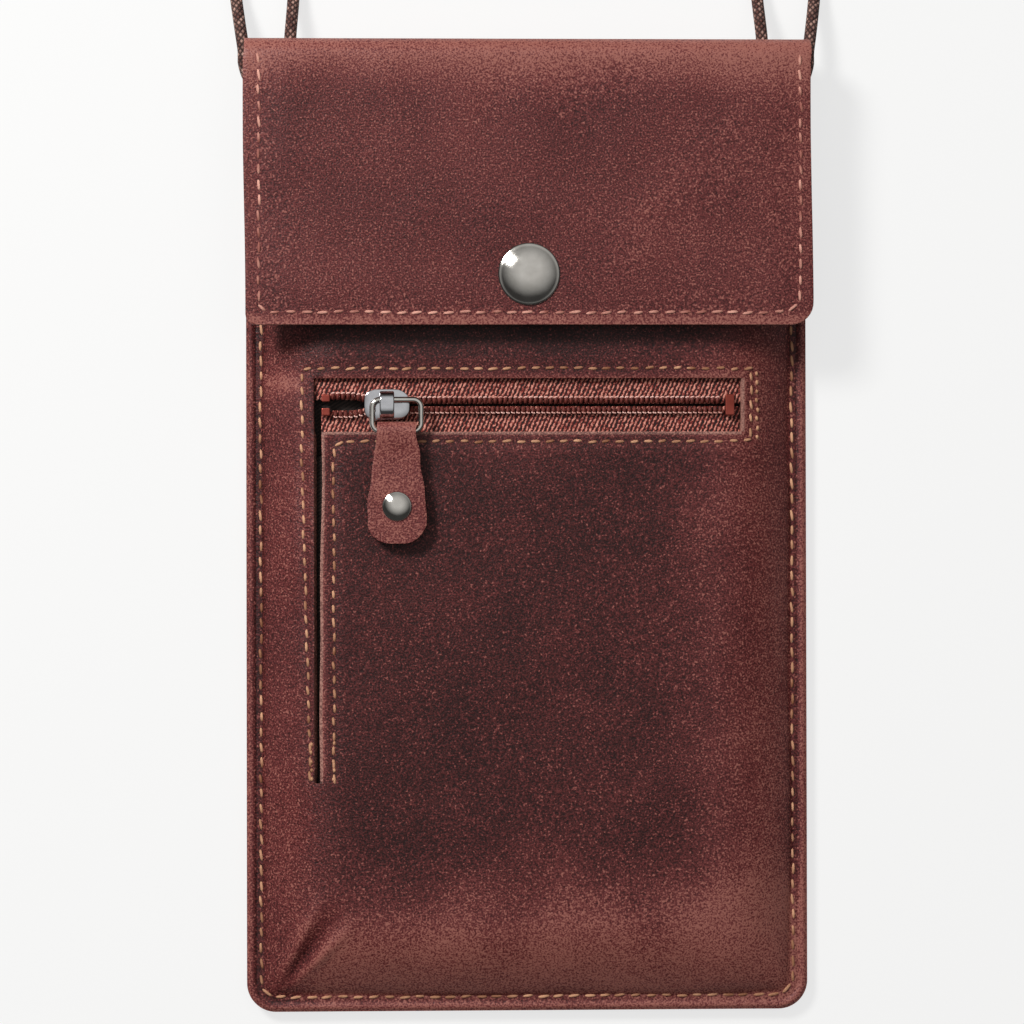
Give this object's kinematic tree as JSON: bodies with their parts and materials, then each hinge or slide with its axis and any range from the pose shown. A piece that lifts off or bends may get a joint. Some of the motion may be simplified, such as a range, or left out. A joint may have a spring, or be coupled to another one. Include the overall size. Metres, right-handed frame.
{
  "type": "neck wallet",
  "caption": "Leather neck wallet lying on its back: a stitched pouch with a press-stud flap, a zip pocket, a slip pocket and a stowed neck cord.",
  "frame": {"origin": "middle of the pouch's back, on the surface it lies on", "axes": "+X to the wearer's right as seen from the front, +Y from the pouch's bottom to the cord, +Z out of the front"},
  "size_m": [0.123, 0.2622, 0.0174],
  "materials": {
    "brown_leather": "waxed smooth",
    "dark_lining": "matt woven",
    "zip_tape": "herringbone weave",
    "zip_coil": "satin nylon",
    "gunmetal": "dark plated",
    "steel": "polished",
    "thread": "twisted",
    "cord": "braided"
  },
  "bodies": {
    "pouch": {"back_panel": "brown_leather", "front_panel": "brown_leather", "back_lining": "dark_lining", "zip_pocket_bag": "dark_lining", "slip_pocket_bag": "dark_lining", "zip_tape_upper": "zip_tape", "zip_tape_lower": "zip_tape", "zip_coil_upper": "zip_coil", "zip_coil_lower": "zip_coil", "zip_top_stop_upper": "gunmetal", "zip_top_stop_lower": "gunmetal", "zip_bottom_stop": "gunmetal", "stud_post": "steel", "stud_washer": "steel", "seam_thread": "thread", "cord_loop_left": "cord", "cord_knot_left": "cord", "cord_lead_left": "cord", "cord_loop_right": "cord", "cord_knot_right": "cord", "cord_lead_right": "cord", "cord_coil": "cord", "cord_tie": "brown_leather"},
    "flap": {"flap_leather": "brown_leather", "flap_lining": "dark_lining", "flap_thread": "thread", "stud_cap": "steel", "stud_socket": "steel"},
    "zip_slider": {"zip_slider": "gunmetal"},
    "pull_ring": {"pull_ring": "steel"},
    "pull_tab": {"pull_tab": "brown_leather", "pull_rivet_cap": "steel", "pull_rivet_back": "steel"}
  },
  "joints": [
    {"name": "flap_fold", "type": "hinge", "parent": "pouch", "child": "flap", "pos_m": [0, 0.1, 0.0155], "axis": [-1, 0, 0], "range_deg": [0, 180]},
    {"name": "slider_slide", "type": "slide", "parent": "pouch", "child": "zip_slider", "axis": [1, 0, 0], "range_m": [-0.0065, 0.0645]},
    {"name": "ring_swing", "type": "hinge", "parent": "zip_slider", "child": "pull_ring", "pos_m": [-0.027, 0.026, 0.0126], "axis": [-1, 0, 0], "range_deg": [0, 100]},
    {"name": "tab_swing", "type": "hinge", "parent": "pull_ring", "child": "pull_tab", "pos_m": [-0.027, 0.0196, 0.0126], "axis": [-1, 0, 0], "range_deg": [0, 70]}
  ]
}
